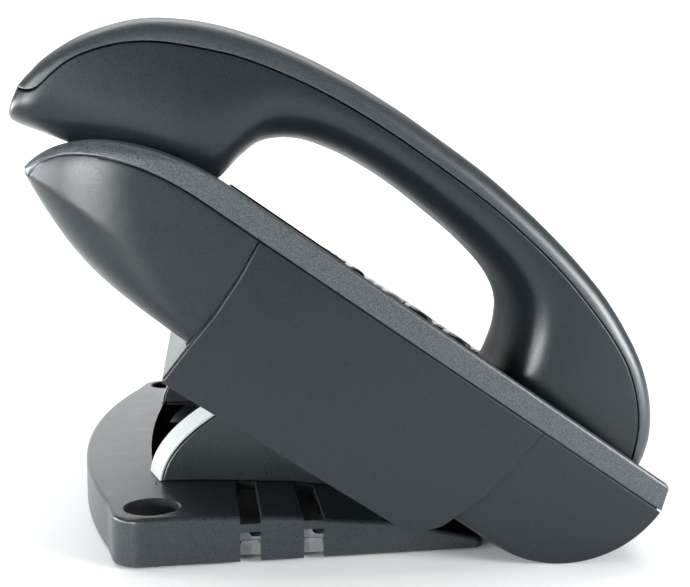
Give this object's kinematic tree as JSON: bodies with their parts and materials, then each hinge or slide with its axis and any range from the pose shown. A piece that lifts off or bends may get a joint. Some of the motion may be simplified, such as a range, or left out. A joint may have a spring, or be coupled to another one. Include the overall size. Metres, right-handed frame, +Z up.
{
  "type": "telephone",
  "caption": "Desk telephone with a tilting key console on a foot, and an arched handset that lifts off its left side.",
  "frame": {"origin": "middle of the bounding box's bottom, on the desk", "axes": "+X towards the person who uses the phone, +Z up, -Y the side that the handset lies on"},
  "size_m": [0.1898, 0.237, 0.159],
  "materials": {
    "charcoal_grained": "fine sparkling grain, satin",
    "charcoal_satin": "smooth satin",
    "dark_plastic": "satin",
    "black_key": "glossy",
    "silver_key": "silver paint",
    "lens": "glossy window",
    "pale_grey": "matte",
    "rubber": "matte",
    "circuit_board": "solder mask",
    "battery_wrap": "shrink wrap",
    "steel": "plated",
    "silver_trim": "bright satin",
    "gold_contact": "plated"
  },
  "bodies": {
    "foot": {"foot_plate": "charcoal_satin", "strut_left": "charcoal_satin", "strut_right": "charcoal_satin", "strut_trim_left": "silver_trim", "strut_trim_right": "silver_trim", "hinge_pin_left": "steel", "hinge_pin_right": "steel", "rear_pad_1": "rubber", "rear_pad_2": "rubber", "front_pad_strip": "rubber", "cable_clip_left": "pale_grey", "cable_clip_right": "pale_grey"},
    "console": {"face_bezel": "charcoal_grained", "lower_housing": "charcoal_satin", "stand_block": "charcoal_satin", "display_lens": "lens", "display_module": "pale_grey", "key_mat": "rubber", "main_board": "circuit_board", "loudspeaker": "dark_plastic", "jack_block": "dark_plastic", "housing_screw_1": "steel", "housing_screw_2": "steel", "charge_contacts": "gold_contact", "front_pad_left": "rubber", "front_pad_right": "rubber"},
    "handset": {"handset_back_shell": "charcoal_grained", "handset_face_shell": "charcoal_satin", "receiver_capsule": "dark_plastic", "microphone_capsule": "dark_plastic", "handset_battery": "battery_wrap", "handset_board": "circuit_board", "handset_contact_1": "gold_contact", "handset_contact_2": "gold_contact"},
    "hook": {"hook_switch": "dark_plastic"},
    "dial_key_1": {"dial_key_1": "black_key"},
    "dial_key_2": {"dial_key_2": "black_key"},
    "dial_key_3": {"dial_key_3": "black_key"},
    "dial_key_4": {"dial_key_4": "black_key"},
    "dial_key_5": {"dial_key_5": "black_key"},
    "dial_key_6": {"dial_key_6": "black_key"},
    "dial_key_7": {"dial_key_7": "black_key"},
    "dial_key_8": {"dial_key_8": "black_key"},
    "dial_key_9": {"dial_key_9": "black_key"},
    "dial_key_star": {"dial_key_star": "black_key"},
    "dial_key_0": {"dial_key_0": "black_key"},
    "dial_key_hash": {"dial_key_hash": "black_key"},
    "soft_key_1": {"soft_key_1": "black_key"},
    "soft_key_2": {"soft_key_2": "black_key"},
    "soft_key_3": {"soft_key_3": "black_key"},
    "soft_key_4": {"soft_key_4": "black_key"},
    "function_key_1": {"function_key_1": "silver_key"},
    "function_key_2": {"function_key_2": "silver_key"},
    "function_key_3": {"function_key_3": "silver_key"},
    "call_key_1": {"call_key_1": "black_key"},
    "call_key_2": {"call_key_2": "black_key"},
    "call_key_3": {"call_key_3": "black_key"},
    "navigation_key": {"navigation_key": "silver_key"},
    "select_key": {"select_key": "black_key"},
    "volume_rocker": {"volume_rocker": "black_key"}
  },
  "joints": [
    {"name": "console_tilt", "type": "hinge", "parent": "foot", "child": "console", "pos_m": [0.01902, 0, 0.01598], "axis": [0, -1, 0], "range_deg": [0, 14]},
    {"name": "handset_lift", "type": "slide", "parent": "console", "child": "handset", "axis": [0.5681, 0, 0.8229], "range_m": [0, 0.12]},
    {"name": "hook_travel", "type": "slide", "parent": "console", "child": "hook", "axis": [0.5681, 0, 0.8229], "range_m": [0, 0.004]},
    {"name": "dial_key_1_press", "type": "slide", "parent": "console", "child": "dial_key_1", "axis": [-0.5681, 0, -0.8229], "range_m": [0, 0.0012], "stiffness_N_per_m": 400},
    {"name": "dial_key_2_press", "type": "slide", "parent": "console", "child": "dial_key_2", "axis": [-0.5681, 0, -0.8229], "range_m": [0, 0.0012], "stiffness_N_per_m": 400},
    {"name": "dial_key_3_press", "type": "slide", "parent": "console", "child": "dial_key_3", "axis": [-0.5681, 0, -0.8229], "range_m": [0, 0.0012], "stiffness_N_per_m": 400},
    {"name": "dial_key_4_press", "type": "slide", "parent": "console", "child": "dial_key_4", "axis": [-0.5681, 0, -0.8229], "range_m": [0, 0.0012], "stiffness_N_per_m": 400},
    {"name": "dial_key_5_press", "type": "slide", "parent": "console", "child": "dial_key_5", "axis": [-0.5681, 0, -0.8229], "range_m": [0, 0.0012], "stiffness_N_per_m": 400},
    {"name": "dial_key_6_press", "type": "slide", "parent": "console", "child": "dial_key_6", "axis": [-0.5681, 0, -0.8229], "range_m": [0, 0.0012], "stiffness_N_per_m": 400},
    {"name": "dial_key_7_press", "type": "slide", "parent": "console", "child": "dial_key_7", "axis": [-0.5681, 0, -0.8229], "range_m": [0, 0.0012], "stiffness_N_per_m": 400},
    {"name": "dial_key_8_press", "type": "slide", "parent": "console", "child": "dial_key_8", "axis": [-0.5681, 0, -0.8229], "range_m": [0, 0.0012], "stiffness_N_per_m": 400},
    {"name": "dial_key_9_press", "type": "slide", "parent": "console", "child": "dial_key_9", "axis": [-0.5681, 0, -0.8229], "range_m": [0, 0.0012], "stiffness_N_per_m": 400},
    {"name": "dial_key_star_press", "type": "slide", "parent": "console", "child": "dial_key_star", "axis": [-0.5681, 0, -0.8229], "range_m": [0, 0.0012], "stiffness_N_per_m": 400},
    {"name": "dial_key_0_press", "type": "slide", "parent": "console", "child": "dial_key_0", "axis": [-0.5681, 0, -0.8229], "range_m": [0, 0.0012], "stiffness_N_per_m": 400},
    {"name": "dial_key_hash_press", "type": "slide", "parent": "console", "child": "dial_key_hash", "axis": [-0.5681, 0, -0.8229], "range_m": [0, 0.0012], "stiffness_N_per_m": 400},
    {"name": "soft_key_1_press", "type": "slide", "parent": "console", "child": "soft_key_1", "axis": [-0.5681, 0, -0.8229], "range_m": [0, 0.0012], "stiffness_N_per_m": 400},
    {"name": "soft_key_2_press", "type": "slide", "parent": "console", "child": "soft_key_2", "axis": [-0.5681, 0, -0.8229], "range_m": [0, 0.0012], "stiffness_N_per_m": 400},
    {"name": "soft_key_3_press", "type": "slide", "parent": "console", "child": "soft_key_3", "axis": [-0.5681, 0, -0.8229], "range_m": [0, 0.0012], "stiffness_N_per_m": 400},
    {"name": "soft_key_4_press", "type": "slide", "parent": "console", "child": "soft_key_4", "axis": [-0.5681, 0, -0.8229], "range_m": [0, 0.0012], "stiffness_N_per_m": 400},
    {"name": "function_key_1_press", "type": "slide", "parent": "console", "child": "function_key_1", "axis": [-0.5681, 0, -0.8229], "range_m": [0, 0.0012], "stiffness_N_per_m": 400},
    {"name": "function_key_2_press", "type": "slide", "parent": "console", "child": "function_key_2", "axis": [-0.5681, 0, -0.8229], "range_m": [0, 0.0012], "stiffness_N_per_m": 400},
    {"name": "function_key_3_press", "type": "slide", "parent": "console", "child": "function_key_3", "axis": [-0.5681, 0, -0.8229], "range_m": [0, 0.0012], "stiffness_N_per_m": 400},
    {"name": "call_key_1_press", "type": "slide", "parent": "console", "child": "call_key_1", "axis": [-0.5681, 0, -0.8229], "range_m": [0, 0.0012], "stiffness_N_per_m": 400},
    {"name": "call_key_2_press", "type": "slide", "parent": "console", "child": "call_key_2", "axis": [-0.5681, 0, -0.8229], "range_m": [0, 0.0012], "stiffness_N_per_m": 400},
    {"name": "call_key_3_press", "type": "slide", "parent": "console", "child": "call_key_3", "axis": [-0.5681, 0, -0.8229], "range_m": [0, 0.0012], "stiffness_N_per_m": 400},
    {"name": "select_key_press", "type": "slide", "parent": "console", "child": "select_key", "axis": [-0.5681, 0, -0.8229], "range_m": [0, 0.0012], "stiffness_N_per_m": 400},
    {"name": "navigation_rock", "type": "hinge", "parent": "console", "child": "navigation_key", "pos_m": [0.03985, 0.084, 0.05847], "axis": [0, 1, 0], "range_deg": [-3, 3], "stiffness_Nm_per_rad": 0.2},
    {"name": "volume_rock", "type": "hinge", "parent": "console", "child": "volume_rocker", "pos_m": [0.07771, 0.084, 0.03233], "axis": [0.8229, 0, -0.5681], "range_deg": [-4, 4], "stiffness_Nm_per_rad": 0.2}
  ],
  "couplings": [
    {"joint": "hook_travel", "follows": "handset_lift", "ratio": 0.033333}
  ]
}
